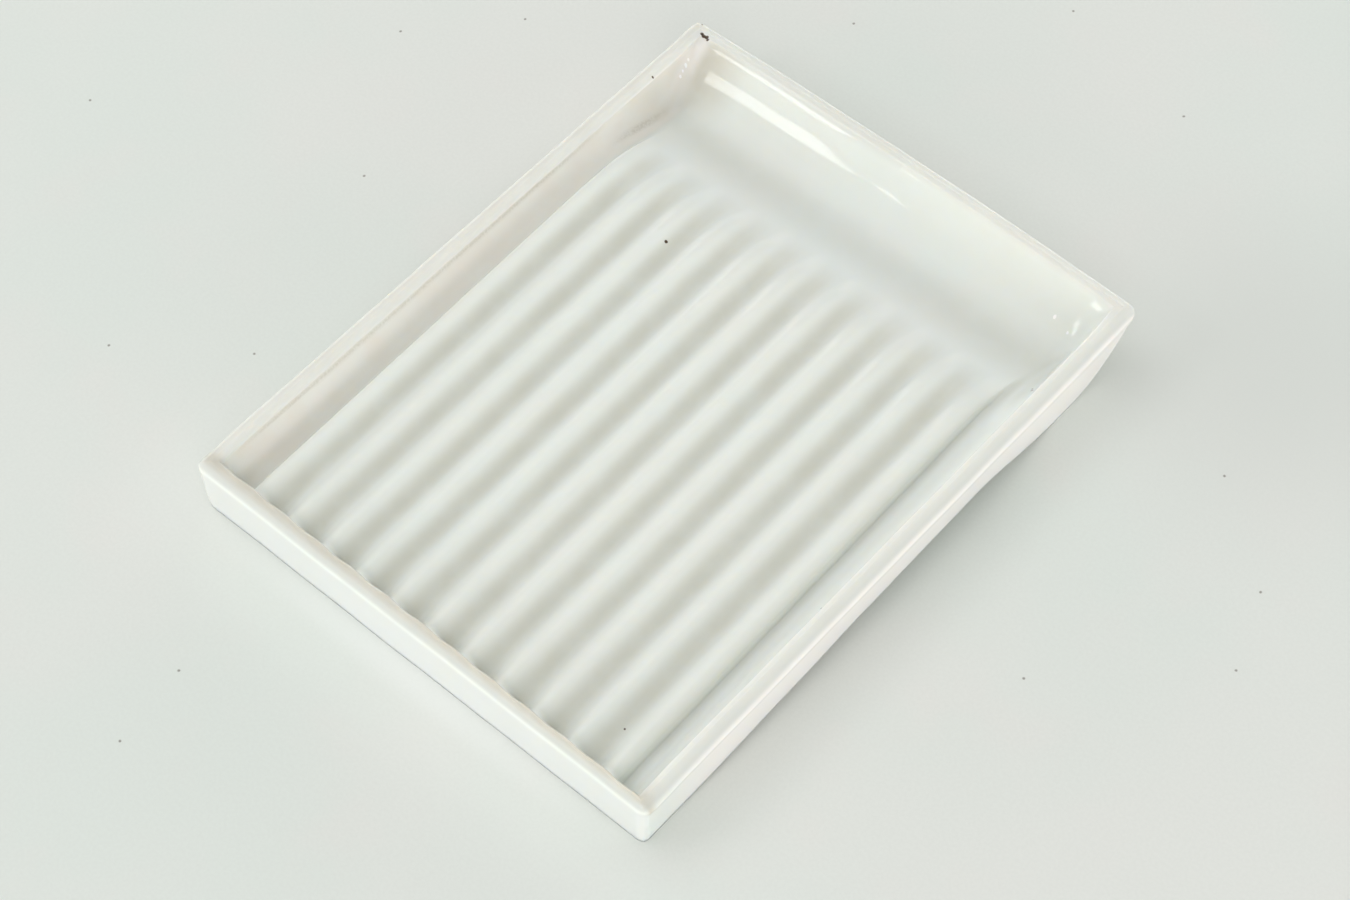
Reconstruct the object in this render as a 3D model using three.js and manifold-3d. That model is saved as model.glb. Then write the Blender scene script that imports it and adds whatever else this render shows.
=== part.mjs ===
// Developing tray for glass plates: one moulded piece of white opal glass.
// The floor is ribbed lengthwise and rises towards a smooth well at the far end,
// where the wall sweeps up and outward as a scoop-shaped ramp.
// Millimetres, +Z up. X runs across the ribs, +Y from the near wall to the well.
// The origin is the middle of the outline, on the surface that the tray stands on.

import * as THREE from 'three';
import { mergeVertices } from 'three/addons/utils/BufferGeometryUtils.js';
import Module from 'manifold-3d';

const wasm = await Module();
wasm.setup();

// Outline
const WIDTH = 115;            // outside of the rim, across the ribs
const LENGTH = 148;           // outside of the rim, along the ribs
const HEIGHT = 14;            // from the table to the top of the rim
const PLAN_RADIUS = 2.4;      // upright outer corners, seen from above
const RIM_CHAMFER = 0.5;      // broken outer edge of the rim
const SIDE_DRAFT = 0.9;       // how far a side wall leans in from rim to foot
const NEAR_DRAFT = 1.9;       // how far the near wall leans in from rim to foot

// Rim widths
const SIDE_RIM = 3.8;
const NEAR_RIM = 3.1;
const FAR_RIM = 2.9;

// Underside, measured from the near end
const NEAR_FOOT_END = 7;      // end of the flat strip under the near wall
const ARCH_TOP_AT = 97;       // where the underside is highest
const ARCH_HEIGHT = 4.4;
const ARCH_RISE_AT = 36;      // control points of its long rise
const ARCH_RISE_HEIGHT = 3.3;
const ARCH_LEVEL_AT = 73;
const ARCH_FALL_PULL = 12;    // how far the controls of its short fall stand off
const WELL_FOOT_START = 124;  // flat strip under the well
const WELL_FOOT_END = 130;
const SCOOP_KNEE_AT = 140;    // control point of the curve up to the far rim
const FAR_LIP = 1.2;          // upright edge under the far rim

// Ribbed floor
const RIB_COUNT = 11;
const RIB_PITCH = 9.05;
const RIB_HEIGHT = 1.7;
const FLOOR_DEPTH = 6.6;      // valleys below the rim at the near wall
const FLOOR_RISE = 3.4;       // from the near wall to the ends of the ribs
const RIB_FADE_START = 113;   // from the near end
const RIB_FADE_END = 118.5;
const CHANNEL_EXTRA = 0.7;    // how much deeper the two side channels are

// Well and ramp
const WELL_DEPTH = 9.4;       // below the rim
const WELL_BOTTOM_AT = 131.5;
const RAMP_BULGE = 1.8;       // exponents of the ramp's curve
const RAMP_LIP = 1.2;

// Coves between the floor and the walls
const SIDE_COVE = 4;
const NEAR_COVE = 3.6;

// Fineness of the inner surface
const COVE_STEPS = 5;
const RIB_STEPS = 6;
const RIB_END_STEPS = 5;
const WELL_STEPS = 6;
const RAMP_STEPS = 8;
const CORNER_STEPS = 4;
const ARCH_STEPS = 10;

const NEAR_END = -LENGTH / 2;
const INNER_HALF_WIDTH = WIDTH / 2 - SIDE_RIM;
const INNER_FAR = LENGTH - FAR_RIM;
const HALF_RIBS = RIB_COUNT * RIB_PITCH / 2;
const QUARTER = Math.PI / 2;

// The hollow's cutting solid
const ABOVE_RIM = 3;          // its top above the rim
const EDGE_ABOVE_RIM = 0.3;   // the edge of its lower face above the rim
const SHALLOWEST = 1e-6;      // less depth than this is the edge
const SAME_POINT = 1e-4;      // vertices closer than this are one

function toSolid(geometry) {
  const bare = geometry.clone();
  bare.deleteAttribute('normal');
  bare.deleteAttribute('uv');
  const merged = mergeVertices(bare, SAME_POINT);
  return new wasm.Manifold(new wasm.Mesh({
    numProp: 3,
    vertProperties: new Float32Array(merged.attributes.position.array),
    triVerts: new Uint32Array(merged.index.array),
  }));
}

function toGeometry(solid) {
  const mesh = solid.getMesh();
  const geometry = new THREE.BufferGeometry();
  geometry.setAttribute('position', new THREE.BufferAttribute(mesh.vertProperties, 3));
  geometry.setIndex(new THREE.BufferAttribute(mesh.triVerts, 1));
  geometry.computeVertexNormals();
  return geometry;
}

// Outline seen from the near end: two leaning side walls with broken rim edges.
function frontOutline() {
  const top = WIDTH / 2;
  const foot = top - SIDE_DRAFT;
  const outline = new THREE.Shape();
  outline.moveTo(-foot, 0);
  outline.lineTo(foot, 0);
  outline.lineTo(top, HEIGHT - RIM_CHAMFER);
  outline.lineTo(top - RIM_CHAMFER, HEIGHT);
  outline.lineTo(-top + RIM_CHAMFER, HEIGHT);
  outline.lineTo(-top, HEIGHT - RIM_CHAMFER);
  outline.closePath();
  return outline;
}

// Outline seen from the side: near wall, arched underside, well foot and scoop.
function sideOutline() {
  const outline = new THREE.Shape();
  outline.moveTo(NEAR_DRAFT, 0);
  outline.lineTo(NEAR_FOOT_END, 0);
  outline.bezierCurveTo(
    ARCH_RISE_AT, ARCH_RISE_HEIGHT,
    ARCH_LEVEL_AT, ARCH_HEIGHT,
    ARCH_TOP_AT, ARCH_HEIGHT,
  );
  outline.bezierCurveTo(
    ARCH_TOP_AT + ARCH_FALL_PULL, ARCH_HEIGHT,
    WELL_FOOT_START - ARCH_FALL_PULL, 0,
    WELL_FOOT_START, 0,
  );
  outline.lineTo(WELL_FOOT_END, 0);
  outline.quadraticCurveTo(SCOOP_KNEE_AT, 0, LENGTH, HEIGHT - FAR_LIP);
  outline.lineTo(LENGTH, HEIGHT - RIM_CHAMFER);
  outline.lineTo(LENGTH - RIM_CHAMFER, HEIGHT);
  outline.lineTo(RIM_CHAMFER, HEIGHT);
  outline.lineTo(0, HEIGHT - RIM_CHAMFER);
  outline.closePath();
  return outline;
}

// Outline seen from above: a rectangle with rounded corners.
function planOutline() {
  const a = WIDTH / 2;
  const b = LENGTH / 2;
  const r = PLAN_RADIUS;
  const outline = new THREE.Shape();
  outline.moveTo(-a + r, -b);
  outline.lineTo(a - r, -b);
  outline.absarc(a - r, -b + r, r, -QUARTER, 0);
  outline.lineTo(a, b - r);
  outline.absarc(a - r, b - r, r, 0, QUARTER);
  outline.lineTo(-a + r, b);
  outline.absarc(-a + r, b - r, r, QUARTER, 2 * QUARTER);
  outline.lineTo(-a, -b + r);
  outline.absarc(-a + r, -b + r, r, 2 * QUARTER, 3 * QUARTER);
  outline.closePath();
  return outline;
}

function extrude(outline, depth, curveSegments) {
  return new THREE.ExtrudeGeometry(outline, { depth, curveSegments, bevelEnabled: false });
}

// The tray as a block without its hollow: what the three outlines share.
function outerBody() {
  const front = extrude(frontOutline(), LENGTH, 1);
  front.rotateX(QUARTER);
  front.translate(0, LENGTH / 2, 0);

  const side = extrude(sideOutline(), WIDTH, ARCH_STEPS);
  side.rotateX(QUARTER);
  side.rotateZ(QUARTER);
  side.translate(-WIDTH / 2, NEAR_END, 0);

  const plan = extrude(planOutline(), HEIGHT, CORNER_STEPS);

  return toSolid(front).intersect(toSolid(side)).intersect(toSolid(plan));
}

// Positions across the tray: cove, ribs, cove. Each says how deep the cove is there.
function columns() {
  const cove = [];
  for (let i = 0; i < COVE_STEPS; i += 1) {
    const angle = (i / COVE_STEPS) * QUARTER;
    cove.push({ at: INNER_HALF_WIDTH - SIDE_COVE * (1 - Math.cos(angle)), share: Math.sin(angle) });
  }
  const list = cove.map(({ at, share }) => ({ at: -at, share }));
  for (let i = 0; i <= RIB_COUNT * RIB_STEPS; i += 1) {
    list.push({ at: -HALF_RIBS + i * RIB_PITCH / RIB_STEPS, share: 1 });
  }
  return list.concat(cove.reverse());
}

// Positions along the tray, from the near end: cove, ribs, rib ends, well, ramp.
function rows() {
  const list = [];
  for (let i = 0; i <= COVE_STEPS; i += 1) {
    const angle = (i / COVE_STEPS) * QUARTER;
    list.push({ at: NEAR_RIM + NEAR_COVE * (1 - Math.cos(angle)), share: Math.sin(angle) });
  }
  const stretches = [
    [RIB_FADE_START, 1],
    [RIB_FADE_END, RIB_END_STEPS],
    [WELL_BOTTOM_AT, WELL_STEPS],
    [INNER_FAR, RAMP_STEPS],
  ];
  for (const [end, steps] of stretches) {
    const start = list[list.length - 1].at;
    for (let i = 1; i <= steps; i += 1) {
      list.push({ at: start + (end - start) * i / steps, share: 1 });
    }
  }
  return list;
}

// Depth of the valleys, the well and the ramp below the rim.
function floorDepth(along) {
  const slope = FLOOR_RISE / (RIB_FADE_END - NEAR_RIM);
  const ribbed = FLOOR_DEPTH - slope * (Math.min(along, WELL_BOTTOM_AT) - NEAR_RIM);
  if (along > WELL_BOTTOM_AT) {
    const up = Math.min(1, (along - WELL_BOTTOM_AT) / (INNER_FAR - WELL_BOTTOM_AT));
    return WELL_DEPTH * (1 - up ** RAMP_BULGE) ** RAMP_LIP;
  }
  const into = THREE.MathUtils.smoothstep(along, RIB_FADE_START, WELL_BOTTOM_AT);
  return ribbed + (WELL_DEPTH - ribbed) * into;
}

// Height of the ribs above the valleys, and the extra depth of the side channels.
function ribLift(across, along) {
  const standing = 1 - THREE.MathUtils.smoothstep(along, RIB_FADE_START, RIB_FADE_END);
  const wave = (1 + Math.cos(2 * Math.PI * across / RIB_PITCH)) / 2;
  const inRibs = Math.abs(across) < HALF_RIBS ? wave : 0;
  const channel = THREE.MathUtils.smoothstep(Math.abs(across), HALF_RIBS - RIB_PITCH / 2, HALF_RIBS);
  return standing * (RIB_HEIGHT * inRibs - CHANNEL_EXTRA * channel);
}

// The hollow of the tray: a box whose lower face is pressed into the inner surface.
function hollow() {
  const across = columns();
  const along = rows();
  const geometry = new THREE.BoxGeometry(1, 1, 1, across.length - 1, along.length - 1, 1);
  const position = geometry.attributes.position;
  for (let i = 0; i < position.count; i += 1) {
    const column = across[Math.round((position.getX(i) + 0.5) * (across.length - 1))];
    const row = along[Math.round((position.getY(i) + 0.5) * (along.length - 1))];
    const share = column.share * row.share;
    const depth = share * (floorDepth(row.at) - ribLift(column.at, row.at));
    const lower = depth < SHALLOWEST ? HEIGHT + EDGE_ABOVE_RIM : HEIGHT - depth;
    const z = position.getZ(i) > 0 ? HEIGHT + ABOVE_RIM : lower;
    position.setXYZ(i, column.at, NEAR_END + row.at, z);
  }
  return toSolid(geometry);
}

function trayMesh() {
  const opalGlass = new THREE.MeshStandardMaterial({ color: 0xe9e8e2, roughness: 0.16, metalness: 0 });
  const mesh = new THREE.Mesh(toGeometry(outerBody().subtract(hollow())), opalGlass);
  mesh.name = 'tray';
  return mesh;
}

const group = new THREE.Group();
group.add(trayMesh());

export default group;
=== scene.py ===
import math

import bpy
import numpy as np
from mathutils import Matrix, Vector, noise


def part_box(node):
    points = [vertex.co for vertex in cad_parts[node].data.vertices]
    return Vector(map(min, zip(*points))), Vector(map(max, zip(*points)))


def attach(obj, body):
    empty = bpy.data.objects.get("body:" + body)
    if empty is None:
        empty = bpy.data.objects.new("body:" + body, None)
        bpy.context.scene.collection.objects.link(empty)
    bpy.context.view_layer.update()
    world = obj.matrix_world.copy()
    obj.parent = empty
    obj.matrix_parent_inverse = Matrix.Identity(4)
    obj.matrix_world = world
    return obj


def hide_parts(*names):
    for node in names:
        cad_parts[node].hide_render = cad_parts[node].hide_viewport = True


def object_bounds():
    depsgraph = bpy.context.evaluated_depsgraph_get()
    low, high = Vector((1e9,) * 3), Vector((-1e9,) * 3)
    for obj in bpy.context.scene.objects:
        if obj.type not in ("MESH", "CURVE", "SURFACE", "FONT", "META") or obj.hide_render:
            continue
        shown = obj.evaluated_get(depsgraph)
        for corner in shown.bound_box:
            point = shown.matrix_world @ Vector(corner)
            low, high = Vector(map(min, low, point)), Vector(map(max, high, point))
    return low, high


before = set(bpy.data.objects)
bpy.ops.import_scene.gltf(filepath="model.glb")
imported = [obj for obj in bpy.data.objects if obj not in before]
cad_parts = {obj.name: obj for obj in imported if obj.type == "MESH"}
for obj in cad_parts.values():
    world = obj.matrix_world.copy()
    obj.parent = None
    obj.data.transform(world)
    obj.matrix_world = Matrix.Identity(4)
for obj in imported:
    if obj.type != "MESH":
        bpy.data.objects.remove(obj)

CAD_BOUNDS = [list(corner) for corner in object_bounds()]

# ---------------------------------------------------------------- sizes, mm
MM = 0.001
LOW, HIGH = (np.array(corner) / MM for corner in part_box("tray"))
WIDTH, LENGTH, HEIGHT = HIGH - LOW

SIDE_RIM = 3.8
NEAR_RIM = 3.1
FAR_RIM = 3.2
INNER_HALF = WIDTH / 2 - SIDE_RIM
INNER_FAR = LENGTH - FAR_RIM
PLAN_RADIUS = 2.2
SIDE_DRAFT = 0.9
NEAR_DRAFT = 0.4
NEAR_SKEW = 0.7             # the near rim is this much wider at its left end, narrower at its right
FAR_BOW = 0.9               # the far rim bows out by this much in its middle
FAR_BOW_START = 112.0

INNER_ROUND = 1.1           # the rim's inner edge
OUTER_ROUND = 2.0           # the rim's outer edge
RIM_CROWN = 0.08            # the rim's edges are this much lower than its middle
FAR_TILT = 0.35             # the far rim's top slopes outwards by this much
FAR_FULLNESS = 0.7          # how much squarer the far rim's outer edge is

RIB_COUNT = 11
RIB_PITCH = 9.05
RIB_HEIGHT = 1.95
RIB_HEIGHT_NEAR = 0.35      # more at the near end
RIB_FULLNESS = 1.0          # 1 is a plain wave, more is a flatter crest and a narrower valley
RIB_LEAN = 0.2              # at the near end the ribs' left flanks are this much narrower than their right
RIB_LEAN_END = 16.0
RIB_SHOULDER = 1.85         # from the outer ribs' crests to their outer edges
FLANK_WIDTH = 0.65
FLOOR_DEPTH = 6.6
FLOOR_RISE = 3.4
RIB_FADE_START = 97.0
RIB_FADE_END = 121.0
WELL_START = 108.0
CHANNEL_EXTRA = 0.8
WELL_DEPTH = 9.4
WELL_BOTTOM_AT = 131.5
RAMP_BULGE = 1.8            # more keeps the ramp low for longer
RAMP_LIP = 1.2              # more rounds the ramp's lip off further
FAR_BLEND = 9.0             # over this length the rim's shape changes into that of the far end
SIDE_SLOPE = 5.0            # width of the inner side walls beside the ribs
RAMP_COVE = 5.8             # width of the round coves beside the ramp
SLOPE_HOLLOW = 1.55         # 1 is a straight slope, more is hollow
NEAR_COVE = 2.4
NEAR_TILT = 0.45            # the near rim's top slopes inwards by this much
NEAR_TILT_START = 0.6
NEAR_TILT_END = 12.0
NEAR_TILT_HEIGHTS = (3, 9)  # a shape grows in between these heights above the table
NEAR_SHAPE_HEIGHTS = (4, 7)
FAR_TILT_HEIGHTS = (8, 12)
NEAR_SHAPE_END = 25.0       # the near wall's skew and scallops have died away here
SCALLOP = 0.14              # the near rim's inner edge bulges in at each rib by this much

NEAR_FOOT_END = 7.0
ARCH_TOP_AT = 97.0
ARCH_HEIGHT = 4.4
ARCH_RISE = 0.75            # less than 1 makes the arch rise sooner
WELL_FOOT_START = 124.0
WELL_FOOT_END = 130.0
SCOOP_KNEE_AT = 140.0

OUTER_CREST = (RIB_COUNT - 1) / 2 * RIB_PITCH
SHOULDER_AT = OUTER_CREST + RIB_SHOULDER
FLANK_START = SHOULDER_AT - 0.15
FLANK_FOOT = SHOULDER_AT + FLANK_WIDTH
CHANNEL_END = WELL_BOTTOM_AT - 4
INNER_ROUND_END = INNER_FAR - 1     # beyond this the ramp's lip is the rim's inner edge

WAVE_ACROSS = 0.12          # unevenness of the pressed edges
WAVE_UP = 0.10
WAVE_LENGTH = 17.0
WAVE_NEAR_END = 20.0
WAVE_FAR_START = 128.0
WAVE_UP_START = 7.0         # unevenness in height starts this high above the table
WAVE_SIDE_SEED = 11
WAVE_NEAR_SEED = 37
WAVE_FAR_SEED = 53
WAVE_UP_SEED = 71

# how finely the mesh is divided
RIBBED_END = WELL_START - 2
TIPS_END = RIB_FADE_END + 1
COVE_STEPS = 14
RIB_STEPS = 18
FLOOR_STEPS = 4
FLANK_STEPS = 7
SHOULDER_STEPS = 5
RIBBED_STEPS = 64
TIP_STEPS = 30
WELL_STEPS = 24
RAMP_STEPS = 40
INNER_ROUND_STEPS = 6
RIM_TOP_STEPS = 6
OUTER_ROUND_STEPS = 8
WALL_STEPS = 16

# small marks: place from the middle of the tray's footprint, across and along, and radius
CHIPS = (
    (-53.8, 70.35, 0.36),
    (-53.2, 70.15, 0.48),
    (-52.5, 70.25, 0.46),
    (-51.9, 69.95, 0.32),
    (-55.7, 72.6, 0.20),
)
CHIP_DEPTH = 0.3
CHIP_FLOOR = 0.3            # a chip is fully deep out to this many times its radius
CHIP_REACH = 1.6            # and ends at this many times its radius
CHIP_LOWEST = 10.0          # chips touch only what is higher than this
SPECKS = (
    (-25.0, 26.0, 0.33),
    (41.0, -61.0, 0.22),
    (-54.0, 55.0, 0.22),
    (53.5, -20.0, 0.16),
)
PITS = (
    (52.0, 46.0, 0.30),
    (51.6, 46.7, 0.22),
)
GLINTS = (
    (44.0, 64.0, 0.32),
    (48.0, 63.0, 0.26),
    (-52.4, 61.8, 0.26),
    (-52.6, 62.8, 0.22),
    (-52.7, 63.9, 0.28),
    (-52.9, 64.9, 0.22),
)


def smooth(low, high, value):
    t = np.clip((value - low) / (high - low), 0.0, 1.0)
    return t * t * (3 - 2 * t)


# ---------------------------------------------------------------- the inner surface
def columns(along):
    """Places across the tray at one place along it, with each one's share of the full depth."""
    angle = np.arange(COVE_STEPS) / COVE_STEPS * math.pi / 2
    beyond_ribs = smooth(WELL_START, WELL_BOTTOM_AT, along)
    width = SIDE_SLOPE + (RAMP_COVE - SIDE_SLOPE) * beyond_ribs
    slope = INNER_HALF - width * (1 - np.cos(angle))
    slope_share = 1 - np.cos(angle) ** SLOPE_HOLLOW
    slope_share += (np.sin(angle) - slope_share) * beyond_ribs
    foot = INNER_HALF - SIDE_SLOPE
    inward = np.concatenate([
        np.linspace(foot, FLANK_FOOT, FLOOR_STEPS, endpoint=False),
        np.linspace(FLANK_FOOT, SHOULDER_AT, FLANK_STEPS, endpoint=False),
        np.linspace(SHOULDER_AT, OUTER_CREST, SHOULDER_STEPS, endpoint=False),
    ])
    squeeze = (INNER_HALF - width - OUTER_CREST) / (foot - OUTER_CREST)
    inward = OUTER_CREST + (inward - OUTER_CREST) * squeeze
    right = np.concatenate([slope, inward])
    ribs = np.linspace(-OUTER_CREST, OUTER_CREST, (RIB_COUNT - 1) * RIB_STEPS + 1)
    share = np.concatenate([slope_share, np.ones(len(inward))])
    at = np.concatenate([-right, ribs, right[::-1]])
    return at, np.concatenate([share, np.ones(len(ribs)), share[::-1]])


def rows():
    """Places along the tray, from its near end, with each one's share of the full depth."""
    angle = np.arange(COVE_STEPS) / COVE_STEPS * math.pi / 2
    at = list(NEAR_RIM + NEAR_COVE * (1 - np.cos(angle)))
    share = list(np.sin(angle))
    start = NEAR_RIM + NEAR_COVE
    stretches = (
        (RIBBED_END, RIBBED_STEPS),
        (TIPS_END, TIP_STEPS),
        (WELL_BOTTOM_AT, WELL_STEPS),
        (INNER_FAR, RAMP_STEPS),
    )
    for end, count in stretches:
        at += list(start + (end - start) * np.arange(count) / count)
        share += [1.0] * count
        start = end
    return np.array(at + [INNER_FAR]), np.array(share + [1.0])


def floor_depth(along):
    """Depth of the valleys, the well and the ramp below the rim."""
    slope = FLOOR_RISE / (RIB_FADE_END - NEAR_RIM)
    ribbed = FLOOR_DEPTH - slope * (np.minimum(along, WELL_BOTTOM_AT) - NEAR_RIM)
    into = smooth(WELL_START, WELL_BOTTOM_AT, along)
    before = ribbed + (WELL_DEPTH - ribbed) * into
    up = np.clip((along - WELL_BOTTOM_AT) / (INNER_FAR - WELL_BOTTOM_AT), 0, 1)
    ramp = RIM_CROWN + (WELL_DEPTH - RIM_CROWN) * (1 - up ** RAMP_BULGE) ** RAMP_LIP
    return np.where(along > WELL_BOTTOM_AT, ramp, before)


def rib_phase(across, along):
    """Signed distance from the nearest crest, from -1 to 1. The valleys lie off centre at the near end."""
    lean = RIB_LEAN * (1 - smooth(NEAR_RIM, RIB_LEAN_END, along))
    crest = np.round((across - lean * RIB_PITCH / 2) / RIB_PITCH)
    crest = np.clip(crest, -(RIB_COUNT // 2), RIB_COUNT // 2) * RIB_PITCH
    off = (across - crest) / (RIB_PITCH / 2)
    return np.where(off < 0, off / (1 - lean), off / (1 + lean))


def rib_lift(across, along):
    """Height of the ribs above the valleys, less the extra depth of the side channels."""
    phase = rib_phase(across, along)
    outermost = np.abs(across) > OUTER_CREST
    phase = np.where(outermost, (np.abs(across) - OUTER_CREST) / (RIB_PITCH / 2), phase)
    end = np.clip((along - RIB_FADE_START) / (RIB_FADE_END - RIB_FADE_START), 0, 1)
    off = np.clip(np.sqrt(phase ** 2 + end ** 2), 0, 1)
    height = RIB_HEIGHT + RIB_HEIGHT_NEAR * (1 - smooth(NEAR_RIM, RIB_LEAN_END, along))
    lift = height * (1 + np.cos(np.pi * off ** RIB_FULLNESS)) / 2
    flank = smooth(FLANK_START, FLANK_FOOT, np.abs(across))
    channel = CHANNEL_EXTRA * (1 - smooth(WELL_START, CHANNEL_END, along))
    return lift * (1 - flank) - channel * flank


# ---------------------------------------------------------------- the outside
def underside(along):
    """Height of the underside above the table, from the near foot to the foot of the well."""
    rise = smooth(NEAR_FOOT_END, ARCH_TOP_AT, along) ** ARCH_RISE
    fall = 1 - smooth(ARCH_TOP_AT, WELL_FOOT_START, along)
    return ARCH_HEIGHT * np.where(along < ARCH_TOP_AT, rise, fall)


def scoop(share):
    """The outside of the ramp, from the far rim (0) to the foot of the well (1): place and height."""
    t = 1 - share
    at = (1 - t) ** 2 * WELL_FOOT_END + 2 * t * (1 - t) * SCOOP_KNEE_AT + t ** 2 * LENGTH
    return at, t ** 2 * (HEIGHT - OUTER_ROUND)


def half_width(height):
    return WIDTH / 2 - SIDE_DRAFT * (HEIGHT - height) / HEIGHT


def plan_round(x, y, half_x, far):
    """Rounds the upright outer corners of the outline."""
    r = PLAN_RADIUS
    dx = np.clip(np.abs(x) - (half_x - r), 0, r)
    near = np.clip(r - y, 0, r)
    beyond = np.clip(y - (far - r), 0, r)
    dy = np.maximum(near, beyond)
    new_x = dx * np.sqrt(1 - dy ** 2 / (2 * r * r))
    new_y = dy * np.sqrt(1 - dx ** 2 / (2 * r * r))
    x = x + np.sign(x) * (new_x - dx)
    y = y + np.where(near > 0, dy - new_y, new_y - dy)
    return x, y


def inner_drop(along):
    """How far the inner rounding of the rim goes down. At the far end the ramp's lip does it."""
    return INNER_ROUND * (1 - smooth(INNER_FAR - FAR_BLEND, INNER_ROUND_END, along))


def inner_grid():
    at_y, share_y = rows()
    across = [columns(along) for along in at_y]
    x = np.array([at for at, share in across])
    y = np.repeat(at_y[:, None], x.shape[1], 1)
    share = np.array([share for at, share in across]) * share_y[:, None]
    edge = inner_drop(y) + RIM_CROWN
    depth = edge + (floor_depth(y) - rib_lift(x, y) - edge) * share
    return x, y, HEIGHT - depth


def perimeter(columns_n, rows_n):
    """Grid indices of the boundary, anticlockwise from the near left corner."""
    near = [(0, i) for i in range(columns_n - 1)]
    right = [(j, columns_n - 1) for j in range(rows_n - 1)]
    far = [(rows_n - 1, i) for i in range(columns_n - 1, 0, -1)]
    left = [(j, 0) for j in range(rows_n - 1, 0, -1)]
    return near + right + far + left


def rim_rings(across, along, drop, fullness):
    """Rings from the inner edge of the rim to the top of the outer walls."""
    def ring(out, down):
        near = NEAR_RIM * (1 - out)
        far = INNER_FAR + FAR_RIM * out
        y = near + (far - near) * along
        return across * (INNER_HALF + SIDE_RIM * out), y, HEIGHT - down

    inner_share = INNER_ROUND / SIDE_RIM
    outer_share = 1 - OUTER_ROUND / SIDE_RIM
    rings = []
    for beta in np.linspace(0, math.pi / 2, INNER_ROUND_STEPS + 1)[1:]:
        down = drop * (1 - math.sin(beta)) + RIM_CROWN
        rings.append(ring(inner_share * (1 - math.cos(beta)), down))
    for step in range(1, RIM_TOP_STEPS):
        share = step / RIM_TOP_STEPS
        out = inner_share + (outer_share - inner_share) * share
        rings.append(ring(out, RIM_CROWN * (1 - 2 * share) ** 2))
    for gamma in np.linspace(0, math.pi / 2, OUTER_ROUND_STEPS + 1):
        out = outer_share + (1 - outer_share) * math.sin(gamma)
        down = RIM_CROWN + (OUTER_ROUND - RIM_CROWN) * (1 - math.cos(gamma)) ** fullness
        rings.append(ring(out, down))
    return rings


def wall_rings(across, along, sides, near_side):
    """Rings down the outer walls: the side walls fill the space between rim, underside and scoop."""
    top = HEIGHT - OUTER_ROUND
    rings = []
    for down in np.linspace(0, 1, WALL_STEPS + 1)[1:]:
        near_at, near_z = NEAR_DRAFT * down, top * (1 - down)
        far_at, far_z = scoop(down)
        low_y = NEAR_DRAFT + (WELL_FOOT_END - NEAR_DRAFT) * along
        side_y = (1 - down) * LENGTH * along + down * low_y + (1 - along) * near_at + along * far_at
        side_y -= (1 - along) * down * NEAR_DRAFT
        side_y -= along * ((1 - down) * LENGTH + down * WELL_FOOT_END)
        side_z = (1 - down) * top + down * underside(low_y) + (1 - along) * near_z + along * far_z
        side_z -= (1 - down) * top
        y = np.where(sides, side_y, np.where(near_side, near_at, far_at))
        z = np.where(sides, side_z, np.where(near_side, near_z, far_z))
        rings.append((across * half_width(z), y, z))
    return rings


def stack(x, y, z):
    return np.stack(np.broadcast_arrays(x, y, z), -1).reshape(-1, 3)


def grid_faces(start, columns_n, rows_n, upward):
    first = (np.arange(rows_n - 1)[:, None] * columns_n + np.arange(columns_n - 1)[None, :]).ravel() + start
    corners = [first, first + 1, first + columns_n + 1, first + columns_n]
    return np.stack(corners if upward else corners[::-1], 1)


def tray_mesh():
    """Points in mm from the near end, and faces: inner grid, rings over the rim and walls, lower grid."""
    x, y, z = inner_grid()
    rows_n, columns_n = x.shape
    loop = np.array([j * columns_n + i for j, i in perimeter(columns_n, rows_n)])
    across = x.ravel()[loop] / INNER_HALF
    along = (y.ravel()[loop] - NEAR_RIM) / (INNER_FAR - NEAR_RIM)
    sides = loop % columns_n % (columns_n - 1) == 0
    near_side = (loop < columns_n) & ~sides

    loop_y = y.ravel()[loop]
    fullness = 1 + FAR_FULLNESS * smooth(INNER_FAR - FAR_BLEND, INNER_FAR, loop_y)
    rings = rim_rings(across, along, inner_drop(loop_y), fullness)
    rings += wall_rings(across, along, sides, near_side)[:-1]
    low_y = NEAR_DRAFT + (WELL_FOOT_END - NEAR_DRAFT) * (y - NEAR_RIM) / (INNER_FAR - NEAR_RIM)
    low_z = underside(low_y)
    low_x = x / INNER_HALF * half_width(low_z)

    parts = [stack(x, y, z)] + [stack(*ring) for ring in rings] + [stack(low_x, low_y, low_z)]
    points = np.concatenate(parts)
    faces = [grid_faces(0, columns_n, rows_n, True)]
    loops = [loop]
    start = x.size
    for ring in rings:
        loops.append(start + np.arange(len(loop)))
        start += len(loop)
    loops.append(start + loop)
    for one, two in zip(loops, loops[1:]):
        faces.append(np.stack([one, two, np.roll(two, -1), np.roll(one, -1)], 1))
    faces.append(grid_faces(start, columns_n, rows_n, False))
    return points, np.concatenate(faces), x.size


def wave(x, y, z, seed):
    """Slow unevenness between 0 and 1."""
    spots = np.stack([x, y, z], 1) / WAVE_LENGTH
    return np.array([0.5 + 0.5 * noise.noise(Vector(spot) + Vector((seed, 0, 0))) for spot in spots])


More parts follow.
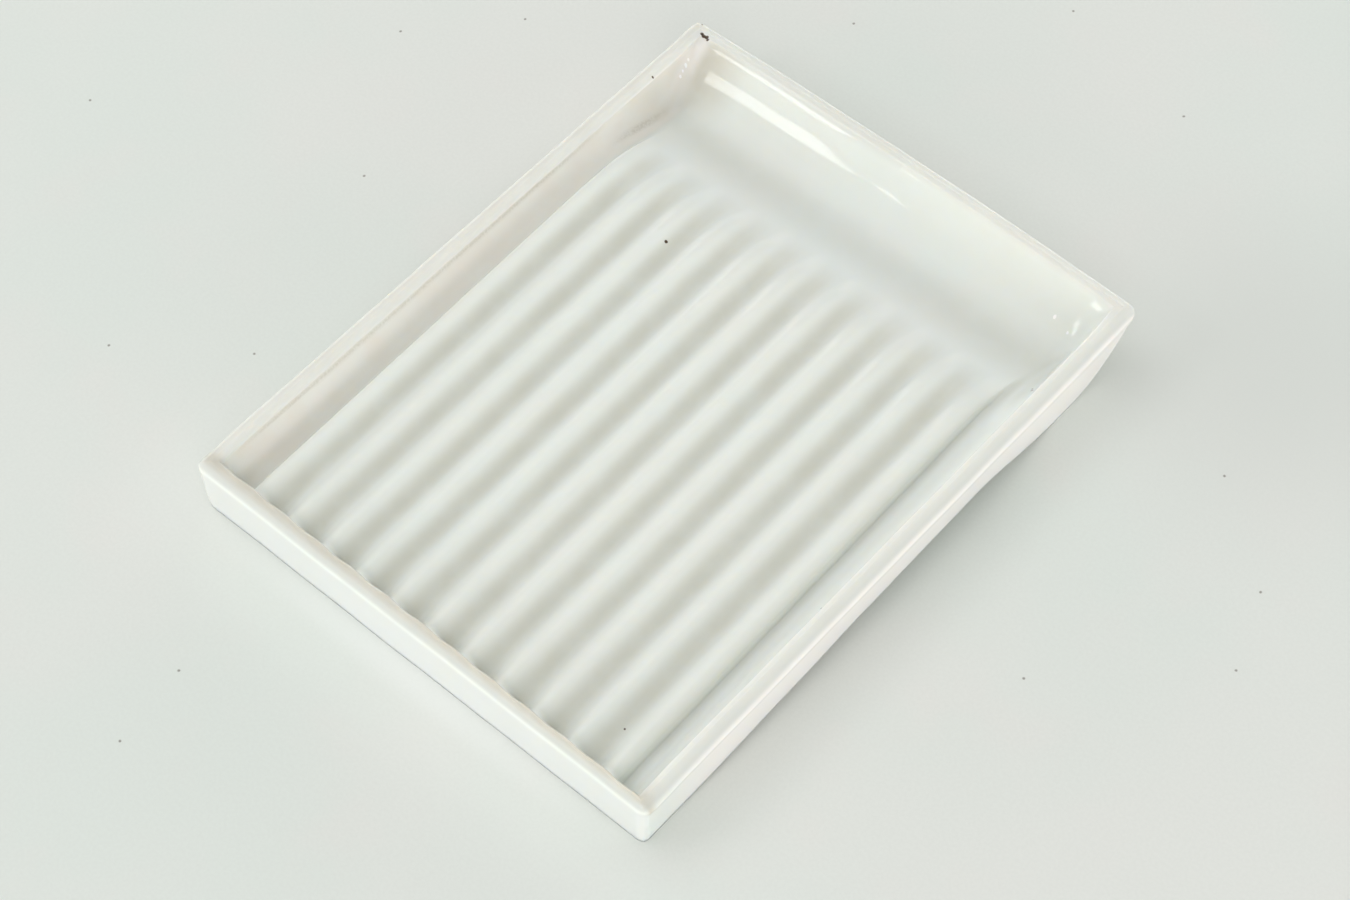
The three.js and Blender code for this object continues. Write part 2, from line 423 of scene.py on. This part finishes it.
def shape_points(points):
    """Skew, bow, rounded corners and unevenness: what keeps the outline from being a ruled one."""
    x, y, z = points.T
    top = HEIGHT - OUTER_ROUND
    far = np.where(z < top, scoop(1 - np.sqrt(np.clip(z / top, 0, 1)))[0], LENGTH)
    half_x = half_width(np.minimum(z, top)) + SIDE_DRAFT * OUTER_ROUND / HEIGHT * (z >= top)
    x, y = plan_round(x, y, half_x, far)
    side = x / (WIDTH / 2)

    near_wall = smooth(0, NEAR_RIM, y) * (1 - smooth(NEAR_RIM, NEAR_SHAPE_END, y))
    near_wall *= smooth(*NEAR_SHAPE_HEIGHTS, z)
    y = y - NEAR_SKEW * side * near_wall
    y = y + SCALLOP * np.cos(2 * math.pi * x / RIB_PITCH) * near_wall
    near_top = smooth(NEAR_TILT_START, NEAR_RIM + 0.5, y) * (1 - smooth(NEAR_RIM + 1, NEAR_TILT_END, y))
    z = z - NEAR_TILT * near_top * smooth(*NEAR_TILT_HEIGHTS, z)
    z = z - FAR_TILT * smooth(INNER_FAR - 1, LENGTH - 0.5, y) * smooth(*FAR_TILT_HEIGHTS, z)
    y = y - FAR_BOW * side ** 2 * smooth(FAR_BOW_START, LENGTH, y)

    x = x - WAVE_ACROSS * side ** 3 * 2 * wave(x, y, z, WAVE_SIDE_SEED)
    near_wave = wave(x, y, z, WAVE_NEAR_SEED) * (1 - smooth(0, WAVE_NEAR_END, y))
    far_wave = wave(x, y, z, WAVE_FAR_SEED) * smooth(WAVE_FAR_START, LENGTH, y)
    y = y + WAVE_ACROSS * 2 * (near_wave - far_wave)
    z = z - WAVE_UP * 2 * wave(x, y, z, WAVE_UP_SEED) * smooth(WAVE_UP_START, HEIGHT, z)
    return np.stack([x, y, z], 1)


def chip(points):
    """Presses a small hollow into the glass at each chip."""
    for x, y, radius in CHIPS:
        away = np.hypot(points[:, 0] / MM - x, points[:, 1] / MM - y)
        hollow = CHIP_DEPTH * MM * (1 - smooth(CHIP_FLOOR * radius, CHIP_REACH * radius, away))
        points[:, 2] -= hollow * (points[:, 2] > CHIP_LOWEST * MM)
    return points


def to_box(points):
    """Stretches the tray by the little that its unevenness took off, so that it fills its box exactly."""
    low, high = points.min(0), points.max(0)
    size = np.array([WIDTH, LENGTH, HEIGHT])
    points = (points - low) / (high - low) * size
    return (points + LOW) * MM


# ---------------------------------------------------------------- tints, wear, painted shade and painted glow, stored on the mesh
def ridge(value, middle, half):
    """1 at the middle, falling smoothly to 0 at half the width on either side."""
    return smooth(0, half, half - np.abs(value - middle))


# where a tint starts and where it is full: depths are below the rim's top
RIM_DEPTH = (0.3, 0.9)
CREAM_NEAR = (2, 9)
CREAM_LEFT = (-WIDTH / 2, -WIDTH / 2 + 6)
OUTER_DEPTH = (0.3, 1.0)
OUTER_ALONG = (4, 20)
LEFT_END_OUT = (INNER_HALF - 4.5, INNER_HALF - 2.5)
LEFT_END_ALONG = (WELL_BOTTOM_AT - 6, INNER_FAR - 4)
FRONT_DEPTH = (1.2, 2.6)
FRONT_ALONG = (0.5, 2.0)
VALLEY_SHADE_RIGHT = (0.15, 0.75)   # shares of a rib's half width, right and left of its crest
VALLEY_SHADE_LEFT = (0.6, 1.0)
RAMP_SHADE_ALONG = (WELL_BOTTOM_AT, INNER_FAR - 4)
WELL_SHADE_SIDES = (0, 45)
LEFT_WALL_OUT = (FLANK_FOOT - 0.2, FLANK_FOOT + 1.2)
LEFT_WALL_ALONG = (2, 8)
LEFT_WALL_END = (WELL_BOTTOM_AT - 6, INNER_FAR)
POCKET_PHASE = (0.35, 0.8)
POCKET_DEPTH = (0.6, 1.8)
CREASE_START = (4, 20)
CREASE_END = (96, 118)
CORNER_OUT = (INNER_HALF - 16, INNER_HALF - 4.5)
CORNER_ALONG = (INNER_FAR - 15, INNER_FAR - 6)
CORNER_WALL = (INNER_HALF - 4, INNER_HALF - 1.5)
EDGE_RIGHT = (WIDTH / 2 - 3, WIDTH / 2 - 1.6)
EDGE_NEAR = (1.2, 2.4)

# the middle of a tinted band, and how far it reaches to either side
CHANNEL_SHADE_BAND = (FLANK_FOOT + 0.4, 1.8)
WELL_SHADE_BAND = (WELL_BOTTOM_AT - 3, 12)
RIGHT_FOOT_SHADE_ACROSS = (INNER_HALF - 3.0, 2.2)
RIGHT_FOOT_SHADE_ALONG = (118, 9)
POCKET_BAND = (NEAR_RIM + 1.2, 1.5)
CREASE_BAND = (-INNER_HALF + 0.25, 0.4)
LEFT_FOOT_ACROSS = (-INNER_HALF + SIDE_SLOPE - 1.6, 0.9)
LEFT_FOOT_ALONG = (121, 12)
NEAR_BAND = (2.3, 2.6)
EDGE_BAND = (0.6, 0.9)

# depths where a tint stops
CREASE_DEEPEST = 2
LEFT_FOOT_SHALLOWEST = 1.5
NEAR_BAND_DEEPEST = 2.5
UPPER_DEEPEST = 0.8

# strengths
RIM_SHARE = 0.5             # the rim's tint where it is neither near nor left
OUTER_TOP_SHARE = 0.15
VALLEY_SHADE_LEAST = 0.25
CHANNEL_SHADE_SHARE = 0.6
RAMP_SHADE_SHARE = 0.35
WELL_SHADE_SHARE = 0.55           # of the well, and again of its middle against its sides
RIGHT_FOOT_SHADE_SHARE = 0.4
LEFT_WALL_LOSS = 0.75       # how much of the left wall's tint is gone at the far end
POCKET_SHARE = 0.7
CREASE_SHARE = 0.3
LEFT_FOOT_SHARE = 0.4
CORNER_WALL_LOSS = 0.8
EDGE_RIGHT_SHARE = 0.65
EDGE_LEFT_SHARE = 0.3


def marks(points, inner_count):
    """How strongly each point takes each tint, from 0 to 1: the glass's own tints and marks, painted shade
    and painted glow.
    """
    x, y, z = points.T
    inner = np.arange(len(points)) < inner_count
    below = HEIGHT - z
    side = np.abs(x)
    phase = rib_phase(x, y)
    ribbed = 1 - smooth(WELL_START, RIB_FADE_END, y)
    ribbed *= 1 - smooth(SHOULDER_AT, FLANK_FOOT, side)

    near_or_left = np.maximum(1 - smooth(*CREAM_NEAR, y), 1 - smooth(*CREAM_LEFT, x))
    # partly the rim's own cream tint and partly painted shade: the rim's top is tinted darker, most on the
    # near and left rims
    rim = (1 - smooth(*RIM_DEPTH, below)) * (RIM_SHARE + (1 - RIM_SHARE) * near_or_left)

    # partly the outer walls' own pinkish tint and partly painted light: the outer walls, and the left inner
    # wall at the far end, are tinted paler to stand in for light glowing through the glass
    outer = OUTER_TOP_SHARE + (1 - OUTER_TOP_SHARE) * smooth(*OUTER_DEPTH, below)
    outer *= (1.0 - inner) * smooth(*OUTER_ALONG, y)
    left_end_glow = inner * smooth(*LEFT_END_OUT, -x) * smooth(*LEFT_END_ALONG, y)
    # painted shade: the lower part of the near outer wall is tinted greyer and darker
    front_shade = (1.0 - inner) * smooth(*FRONT_DEPTH, below) * (1 - smooth(*FRONT_ALONG, y))

    # painted shade: the rib valleys and the side channels are tinted darker
    valley_shade_share = np.where(phase > 0, smooth(*VALLEY_SHADE_RIGHT, phase), smooth(*VALLEY_SHADE_LEFT, -phase))
    valley_shade_share = (VALLEY_SHADE_LEAST + (1 - VALLEY_SHADE_LEAST) * valley_shade_share) * ribbed
    valley = inner * np.maximum(valley_shade_share, CHANNEL_SHADE_SHARE * ridge(side, *CHANNEL_SHADE_BAND))
    valley *= 1 - smooth(RIB_FADE_END, WELL_BOTTOM_AT, y)
    # painted shade: the upper part of the ramp is tinted darker
    ramp = inner * RAMP_SHADE_SHARE * smooth(*RAMP_SHADE_ALONG, y)
    # painted shade: the well is tinted darker, most towards its sides, and so is the foot of the right wall
    # beside it
    well = WELL_SHADE_SHARE + (1 - WELL_SHADE_SHARE) * smooth(*WELL_SHADE_SIDES, side)
    well *= inner * ridge(y, *WELL_SHADE_BAND)
    right_foot_shade = ridge(x, *RIGHT_FOOT_SHADE_ACROSS) * ridge(y, *RIGHT_FOOT_SHADE_ALONG) * inner

    left_wall = inner * (x < 0) * smooth(*LEFT_WALL_OUT, side) * smooth(*LEFT_WALL_ALONG, y)
    left_wall *= 1 - LEFT_WALL_LOSS * smooth(*LEFT_WALL_END, y)

    # painted shade: the valleys' pockets just inside the near wall are tinted dark brown
    pocket_shade = inner * smooth(*POCKET_PHASE, np.abs(phase)) * smooth(*POCKET_DEPTH, below)
    pocket_shade *= POCKET_SHARE * ridge(y, *POCKET_BAND) * (1 - smooth(FLANK_FOOT, INNER_HALF, side))
    # a thin brown line along the left rim's inner edge, and a brown band at the foot of the left wall beside
    # the well
    crease = ridge(x, *CREASE_BAND) * (below < CREASE_DEEPEST)
    crease *= CREASE_SHARE * smooth(*CREASE_START, y) * (1 - smooth(*CREASE_END, y))
    left_foot = ridge(x, *LEFT_FOOT_ACROSS) * ridge(y, *LEFT_FOOT_ALONG)
    left_foot *= LEFT_FOOT_SHARE * inner * (below > LEFT_FOOT_SHALLOWEST)

    # an olive tint in the far-left corner's cove, and a band of it along the near rim's inner edge
    corner = inner * smooth(*CORNER_OUT, -x) * smooth(*CORNER_ALONG, y)
    corner *= 1 - CORNER_WALL_LOSS * smooth(*CORNER_WALL, -x)
    near_band = ridge(y, *NEAR_BAND) * (below < NEAR_BAND_DEEPEST)

    # painted shade: the rim's outer rounding is tinted darker, most on the right and near sides, a little on
    # the left
    edge_right = EDGE_RIGHT_SHARE * smooth(*EDGE_RIGHT, x)
    edge_near = 1 - smooth(*EDGE_NEAR, y)
    edge = np.maximum.reduce([edge_right, edge_near, EDGE_LEFT_SHARE * (x < 0)])
    return {
        "rim": rim,
        "outer": np.maximum(outer, left_end_glow),
        "worn_gloss": np.maximum(1.0 - inner, rim),
        "upper": np.maximum(inner, below < UPPER_DEEPEST),
        "front_shade": front_shade,
        "ribs": inner * (1 - smooth(WELL_START, WELL_BOTTOM_AT, y)),
        "valley": np.maximum.reduce([valley, ramp, RIGHT_FOOT_SHADE_SHARE * right_foot_shade, WELL_SHADE_SHARE * well]),
        "left_wall": left_wall,
        "brown_marks_and_shade": np.maximum.reduce([pocket_shade, crease, left_foot]),
        "olive_tint": np.maximum(corner, near_band),
        "edge": edge * ridge(below, *EDGE_BAND),
    }


def make_tray():
    points, faces, inner_count = tray_mesh()
    layers = marks(points, inner_count)
    points = chip(to_box(shape_points(points)))
    mesh = bpy.data.meshes.new("tray_glass")
    mesh.from_pydata(points.tolist(), [], faces.tolist())
    mesh.polygons.foreach_set("use_smooth", [True] * len(mesh.polygons))
    for name, values in layers.items():
        mesh.attributes.new(name, "FLOAT", "POINT").data.foreach_set("value", values.astype(float))
    mesh.update()
    tray = bpy.data.objects.new("tray_glass", mesh)
    bpy.context.collection.objects.link(tray)
    return tray


# ---------------------------------------------------------------- materials
class Graph:
    """Short calls for the shader nodes of one material."""

    def __init__(self, name):
        self.material = bpy.data.materials.new(name)
        self.material.use_nodes = True
        self.nodes = self.material.node_tree.nodes
        self.links = self.material.node_tree.links
        self.shader = self.nodes["Principled BSDF"]
        self.place = self.nodes.new("ShaderNodeTexCoord").outputs["Object"]

    def feed(self, socket, value):
        if isinstance(value, bpy.types.NodeSocket):
            self.links.new(value, socket)
        else:
            socket.default_value = value

    def noise(self, size_mm, detail):
        """Fractal noise between 0 and 1 with features of about size_mm."""
        node = self.nodes.new("ShaderNodeTexNoise")
        node.inputs["Scale"].default_value = 1 / (size_mm * MM)
        node.inputs["Detail"].default_value = detail
        self.feed(node.inputs["Vector"], self.place)
        return node.outputs["Fac"]

    def ramp(self, value, low, high, to_low=0.0, to_high=1.0):
        """Smooth step from low to high."""
        node = self.nodes.new("ShaderNodeMapRange")
        node.interpolation_type = "SMOOTHSTEP"
        self.feed(node.inputs["Value"], value)
        node.inputs["From Min"].default_value = low
        node.inputs["From Max"].default_value = high
        node.inputs["To Min"].default_value = to_low
        node.inputs["To Max"].default_value = to_high
        return node.outputs["Result"]

    def math(self, operation, one, two):
        node = self.nodes.new("ShaderNodeMath")
        node.operation = operation
        self.feed(node.inputs[0], one)
        self.feed(node.inputs[1], two)
        return node.outputs[0]

    def mix(self, share, one, two):
        """Colour one where share is 0, colour two where it is 1."""
        node = self.nodes.new("ShaderNodeMix")
        node.data_type = "RGBA"
        self.feed(node.inputs["Factor"], share)
        self.feed(node.inputs["A"], one)
        self.feed(node.inputs["B"], two)
        return node.outputs["Result"]

    def layer(self, name):
        node = self.nodes.new("ShaderNodeAttribute")
        node.attribute_name = name
        return node.outputs["Fac"]

    def vector_math(self, operation, one, two):
        node = self.nodes.new("ShaderNodeVectorMath")
        node.operation = operation
        self.feed(node.inputs[0], one)
        self.feed(node.inputs[1], two)
        return node

    def spot(self, x, y, radius, soft, ragged=0.5, squash=(1, 1, 0)):
        """A spot seen from above, in mm; ragged is a noise that breaks its edge.

        squash is a factor for x and for y: less than 1 makes the spot longer that way. Height is left out.
        """
        flat = self.vector_math("MULTIPLY", self.place, squash).outputs["Vector"]
        centre = (x * MM * squash[0], y * MM * squash[1], 0)
        offset = self.vector_math("DISTANCE", flat, centre)
        distance = self.math("ADD", offset.outputs["Value"], self.math("MULTIPLY", ragged, radius * MM))
        edge = 1.5 * radius * MM
        return self.ramp(distance, edge - soft * MM, edge + soft * MM, 1.0, 0.0)

    def bump(self, height, strength, distance_mm, under=None):
        node = self.nodes.new("ShaderNodeBump")
        node.inputs["Strength"].default_value = strength
        node.inputs["Distance"].default_value = distance_mm * MM
        self.feed(node.inputs["Height"], height)
        if under:
            self.feed(node.inputs["Normal"], under)
        return node.outputs["Normal"]


BODY = (0.790, 0.830, 0.795, 1)
BODY_WARM = (0.800, 0.825, 0.785, 1)
# partly the rim's own cream, partly painted shade
RIM_CREAM_SHADE = (0.725, 0.720, 0.665, 1)
# paler than the body: partly the outer walls' own pinkish tint, partly painted glow
WALL_PINK_GLOW = (0.880, 0.855, 0.825, 1)
# painted shade on the near outer wall
FRONT_SHADE = (0.750, 0.768, 0.745, 1)
# painted shade, laid in the rib valleys, the side channels, the well and the upper ramp
VALLEY_SHADE = (0.692, 0.700, 0.625, 1)
WALL_BEIGE = (0.780, 0.755, 0.685, 1)
# brown marks, and painted shade in the pockets by the near wall
MARK_BROWN = (0.36, 0.33, 0.23, 1)
CORNER_OLIVE = (0.650, 0.630, 0.550, 1)
# painted shade on the rim's outer rounding
EDGE_SHADE = (0.610, 0.630, 0.600, 1)
CHIP_DARK = (0.10, 0.065, 0.04, 1)
PIT_BROWN = (0.45, 0.41, 0.34, 1)
GLINT_WHITE = (0.98, 0.98, 0.97, 1)


# groups of small marks: where they are, the softness of their edges in mm, and their colour
SPOTS = (
    (CHIPS, 0.12, CHIP_DARK),
    (SPECKS, 0.06, CHIP_DARK),
    (PITS, 0.05, PIT_BROWN),
    (GLINTS, 0.08, GLINT_WHITE),
)

# noises: size of the features in mm, and detail
GLASS_CLOUD = (22, 3)
GLASS_PATCH = (6, 3)
GLASS_FINE = (0.5, 3)
GLASS_RIPPLE = (9, 0)

# how a noise varies a tint: from and to in the noise, then the share at each of them
BODY_CLOUDS = (0.35, 0.65)
VALLEY_SHADE_PATCHES = (0.2, 0.7, 0.7, 1.0)
RIM_PATCHES = (0.3, 0.7, 0.7, 1.0)
LEFT_WALL_PATCHES = (0.3, 0.7, 0.6, 0.95)
OLIVE_PATCHES = (0.3, 0.6, 0.75, 1.0)
BROWN_GRAINS = (0.3, 0.62, 0.4, 1.0)

# roughness, likewise: the last two are added on the ribs, and on the outside, the rim, the brown marks and
# the painted shade
CLEAN_ROUGHNESS = (0.3, 0.7, 0.02, 0.045)
RIB_ROUGHNESS = (0.3, 0.7, 0.10, 0.17)
MATTE_ROUGHNESS = 0.19

RIPPLE_STRENGTH = 0.35
RIPPLE_HEIGHT = 0.02
GLASS_IOR = 1.5
GLASS_SPECULAR = 0.32
SCATTER_REACH = 0.0026              # metres
SCATTER_COLOURS = (1.0, 0.9, 0.75)


def opal_glass():
    g = Graph("opal_glass")
    rim, ribs, valley, brown_marks_and_shade = g.layer("rim"), g.layer("ribs"), g.layer("valley"), g.layer("brown_marks_and_shade")
    cloud = g.noise(*GLASS_CLOUD)
    patch = g.noise(*GLASS_PATCH)
    fine = g.noise(*GLASS_FINE)

    def uneven(share, pattern, limits):
        return g.math("MULTIPLY", share, g.ramp(pattern, *limits))

    brown_and_shade = uneven(brown_marks_and_shade, fine, BROWN_GRAINS)
    tints = (
        (uneven(valley, patch, VALLEY_SHADE_PATCHES), VALLEY_SHADE),
        (g.layer("outer"), WALL_PINK_GLOW),
        (g.layer("front_shade"), FRONT_SHADE),
        (uneven(rim, patch, RIM_PATCHES), RIM_CREAM_SHADE),
        (uneven(g.layer("left_wall"), patch, LEFT_WALL_PATCHES), WALL_BEIGE),
        (uneven(g.layer("olive_tint"), patch, OLIVE_PATCHES), CORNER_OLIVE),
        (g.layer("edge"), EDGE_SHADE),
        (brown_and_shade, MARK_BROWN),
    )
    colour = g.mix(g.ramp(cloud, *BODY_CLOUDS), BODY, BODY_WARM)
    for share, tint in tints:
        colour = g.mix(share, colour, tint)
    spotted = colour
    for places, soft, tint in SPOTS:
        for x, y, radius in places:
            spotted = g.mix(g.spot(x, y, radius, soft, fine), spotted, tint)
    g.feed(g.shader.inputs["Base Color"], g.mix(g.layer("upper"), colour, spotted))

    matte = g.math("MULTIPLY", g.math("MAXIMUM", g.layer("worn_gloss"), brown_and_shade), MATTE_ROUGHNESS)
    worn = uneven(ribs, patch, RIB_ROUGHNESS)
    gloss = g.math("ADD", g.ramp(cloud, *CLEAN_ROUGHNESS), g.math("MAXIMUM", matte, worn))
    g.feed(g.shader.inputs["Roughness"], gloss)

    ripple = g.bump(g.noise(*GLASS_RIPPLE), RIPPLE_STRENGTH, RIPPLE_HEIGHT)
    g.feed(g.shader.inputs["Normal"], ripple)
    g.shader.inputs["IOR"].default_value = GLASS_IOR
    g.shader.inputs["Specular IOR Level"].default_value = GLASS_SPECULAR
    g.shader.inputs["Subsurface Weight"].default_value = 1.0
    g.shader.inputs["Subsurface Radius"].default_value = SCATTER_COLOURS
    g.shader.inputs["Subsurface Scale"].default_value = SCATTER_REACH
    return g.material


TABLE_GREEN = (0.725, 0.772, 0.722, 1)
TABLE_PALE = (0.758, 0.775, 0.732, 1)
TABLE_WARM = (0.775, 0.762, 0.722, 1)
TABLE_GRAIN = (0.62, 0.64, 0.60, 1)
# painted light on the table beside the near wall
TABLE_GLOW = (0.93, 0.95, 0.93, 1)
# painted shadow on the table by the tray's far right corner
TABLE_SHADOW = (0.655, 0.680, 0.640, 1)
TABLE_SPECK = (0.16, 0.14, 0.11, 1)

# noises, and how they vary the tints and the roughness: as for the glass
TABLE_BROAD_NOISE = (90, 3)
TABLE_CLOUD_NOISE = (28, 4)
TABLE_FINE_NOISE = (0.7, 3)
PALE_BROAD = (0.35, 0.65)
WARM_CLOUDS = (0.5, 0.8, 0.0, 0.5)
GRAIN_FINE = (0.3, 0.7, 0.0, 0.12)
TABLE_ROUGHNESS = (0.3, 0.7, 0.48, 0.60)
TABLE_FINE_BUMP = (0.3, 0.01)       # strength, and height in mm
TABLE_CLOUD_BUMP = (0.2, 0.03)
TABLE_SPECULAR = 0.25

# two painted patches of the table, a pool of painted light beside the near wall and a painted shadow by the
# tray's far right corner: place, radius and softness in mm, then how strong they are
NEAR_GLOW_PATCH = (0, -75, 3.5, 3.5)
NEAR_GLOW_SQUASH = (0.1, 1.0, 0)
NEAR_GLOW_SHARE = 0.45
FAR_SHADOW_PATCH = (80, 88, 32, 28)
FAR_SHADOW_SHARE = 0.75

SPECK_SPACING = 55                  # mm
SPECK_SIZE = (0.006, 0.010)         # full and gone, as shares of the spacing
SPECK_RAGGED = 0.006
SPECK_SHARE = 0.7


def table_top():
    g = Graph("table_top")
    broad = g.noise(*TABLE_BROAD_NOISE)
    cloud = g.noise(*TABLE_CLOUD_NOISE)
    fine = g.noise(*TABLE_FINE_NOISE)
    colour = g.mix(g.ramp(broad, *PALE_BROAD), TABLE_GREEN, TABLE_PALE)
    colour = g.mix(g.ramp(cloud, *WARM_CLOUDS), colour, TABLE_WARM)
    colour = g.mix(g.ramp(fine, *GRAIN_FINE), colour, TABLE_GRAIN)
    # painted light: a pale strip of table beside the near wall, for light thrown back from the wall
    bright = g.spot(*NEAR_GLOW_PATCH, squash=NEAR_GLOW_SQUASH)
    colour = g.mix(g.math("MULTIPLY", bright, NEAR_GLOW_SHARE), colour, TABLE_GLOW)
    # painted shadow: the table is tinted darker around the tray's far right corner
    far_shadow = g.spot(*FAR_SHADOW_PATCH)
    colour = g.mix(g.math("MULTIPLY", far_shadow, FAR_SHADOW_SHARE), colour, TABLE_SHADOW)
    cells = g.nodes.new("ShaderNodeTexVoronoi")
    cells.voronoi_dimensions = "2D"
    cells.inputs["Scale"].default_value = 1 / (SPECK_SPACING * MM)
    g.feed(cells.inputs["Vector"], g.place)
    ragged = g.math("ADD", cells.outputs["Distance"], g.math("MULTIPLY", fine, SPECK_RAGGED))
    speck = g.ramp(ragged, *SPECK_SIZE, 1.0, 0.0)
    colour = g.mix(g.math("MULTIPLY", speck, SPECK_SHARE), colour, TABLE_SPECK)
    g.feed(g.shader.inputs["Base Color"], colour)
    g.feed(g.shader.inputs["Roughness"], g.ramp(cloud, *TABLE_ROUGHNESS))
    bump = g.bump(fine, *TABLE_FINE_BUMP, g.bump(cloud, *TABLE_CLOUD_BUMP))
    g.feed(g.shader.inputs["Normal"], bump)
    g.shader.inputs["Specular IOR Level"].default_value = TABLE_SPECULAR
    return g.material


# ---------------------------------------------------------------- stage
TABLE_HALF = 1.5            # metres


def make_floor():
    mesh = bpy.data.meshes.new("table")
    corners = [(TABLE_HALF * x, TABLE_HALF * y, 0) for x, y in ((-1, -1), (1, -1), (1, 1), (-1, 1))]
    mesh.from_pydata(corners, [], [(0, 1, 2, 3)])
    floor = bpy.data.objects.new("table", mesh)
    bpy.context.collection.objects.link(floor)
    floor.data.materials.append(table_top())
    return floor


def from_angles(azimuth, elevation):
    """Unit vector: azimuth in degrees from +X towards +Y, elevation in degrees above the table."""
    a, e = math.radians(azimuth), math.radians(elevation)
    return Vector((math.cos(a) * math.cos(e), math.sin(a) * math.cos(e), math.sin(e)))


CAMERA_AZIMUTH = -48.15
CAMERA_ELEVATION = 56.41
CAMERA_ROLL = -0.91
CAMERA_DISTANCE = 630.6
CAMERA_AIM = Vector((7.4, -8.5, 0.0))      # from the middle of the tray
LENS_MM = 87.0
SENSOR_MM = 36.0


def make_camera():
    data = bpy.data.cameras.new("camera")
    data.lens = LENS_MM
    data.sensor_width = SENSOR_MM
    camera = bpy.data.objects.new("camera", data)
    bpy.context.collection.objects.link(camera)
    low, high = (Vector(corner) for corner in CAD_BOUNDS)
    back = from_angles(CAMERA_AZIMUTH, CAMERA_ELEVATION)
    level = from_angles(CAMERA_AZIMUTH + 90, 0)
    roll = Matrix.Rotation(math.radians(CAMERA_ROLL), 3, back)
    right = roll @ level
    up = back.cross(right)
    matrix = Matrix((right, up, back)).transposed().to_4x4()
    matrix.translation = (low + high) / 2 + (CAMERA_AIM + back * CAMERA_DISTANCE) * MM
    camera.matrix_world = matrix
    bpy.context.scene.camera = camera


STRIP_AZIMUTH = 230.7
STRIP_ELEVATION = 35.0
STRIP_WIDTH = 19            # degrees, seen from the tray
STRIP_HEIGHT = 5.2
STRIP_RADIANCE = 6.5
STRIP_DISTANCE = 1.5        # metres

# the tent's bright patches: azimuth, elevation and radius in degrees, radiance in the middle.
# The radiances here and of the roof and horizon started as a fit to the photo's tones.
TENT_GLOWS = {
    "right": (0, 8, 35, 0.60),
    "far_low": (90, 8, 35, 1.10),
    "far_high": (90, 30, 35, 0.30),
    "left": (180, 45, 35, 1.40),
    "near_left": (225, 12, 35, 0.75),
    "near": (270, 3, 30, 0.80),
    "near_right_low": (315, 6, 35, 1.10),
    "near_right_high": (315, 35, 35, 1.25),
}
TENT_ROOF = 0.78            # radiance
TENT_HORIZON = 1.95
ROOF_RISE = (0.5, 0.85)     # sines of the elevations between which it starts and is full
HORIZON_FALL = (0.08, 0.35)


def make_strip():
    """The long softbox that the ramp reflects."""
    data = bpy.data.lights.new("strip_softbox", "AREA")
    data.shape = "RECTANGLE"
    data.size = 2 * STRIP_DISTANCE * math.tan(math.radians(STRIP_WIDTH / 2))
    data.size_y = 2 * STRIP_DISTANCE * math.tan(math.radians(STRIP_HEIGHT / 2))
    data.energy = STRIP_RADIANCE * math.pi * data.size * data.size_y
    light = bpy.data.objects.new("strip_softbox", data)
    bpy.context.collection.objects.link(light)
    light.location = from_angles(STRIP_AZIMUTH, STRIP_ELEVATION) * STRIP_DISTANCE
    light.rotation_euler = (-light.location).to_track_quat("-Z", "Y").to_euler()


def make_tent():
    """A light tent as the world: a soft roof, a bright horizon and glowing patches on its walls."""
    world = bpy.data.worlds.new("light_tent")
    bpy.context.scene.world = world
    world.use_nodes = True
    nodes, links = world.node_tree.nodes, world.node_tree.links
    direction = nodes.new("ShaderNodeTexCoord").outputs["Generated"]
    split = nodes.new("ShaderNodeSeparateXYZ")
    links.new(direction, split.inputs[0])

    def band(value, low, high, bottom, top):
        node = nodes.new("ShaderNodeMapRange")
        node.interpolation_type = "SMOOTHSTEP"
        links.new(value, node.inputs["Value"])
        limits = (low, high, bottom, top)
        for name, limit in zip(("From Min", "From Max", "To Min", "To Max"), limits):
            node.inputs[name].default_value = limit
        return node.outputs["Result"]

    def add(one, two):
        node = nodes.new("ShaderNodeMath")
        links.new(one, node.inputs[0])
        links.new(two, node.inputs[1])
        return node.outputs[0]

    roof = band(split.outputs["Z"], *ROOF_RISE, 0.0, TENT_ROOF)
    horizon = band(split.outputs["Z"], *HORIZON_FALL, TENT_HORIZON, 0.0)
    light = add(roof, horizon)
    for name, (azimuth, elevation, radius, radiance) in TENT_GLOWS.items():
        towards = nodes.new("ShaderNodeVectorMath")
        towards.name = name
        towards.operation = "DOT_PRODUCT"
        links.new(direction, towards.inputs[0])
        towards.inputs[1].default_value = from_angles(azimuth, elevation)
        glow = band(towards.outputs["Value"], math.cos(math.radians(radius)), 1.0, 0.0, radiance)
        light = add(light, glow)
    nodes["Background"].inputs["Color"].default_value = (1, 1, 1, 1)
    links.new(light, nodes["Background"].inputs["Strength"])


bpy.context.scene.view_settings.view_transform = "Standard"
make_camera()
make_tent()
make_strip()
make_floor()
tray = make_tray()
tray.data.materials.append(opal_glass())
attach(tray, "root")
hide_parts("tray")
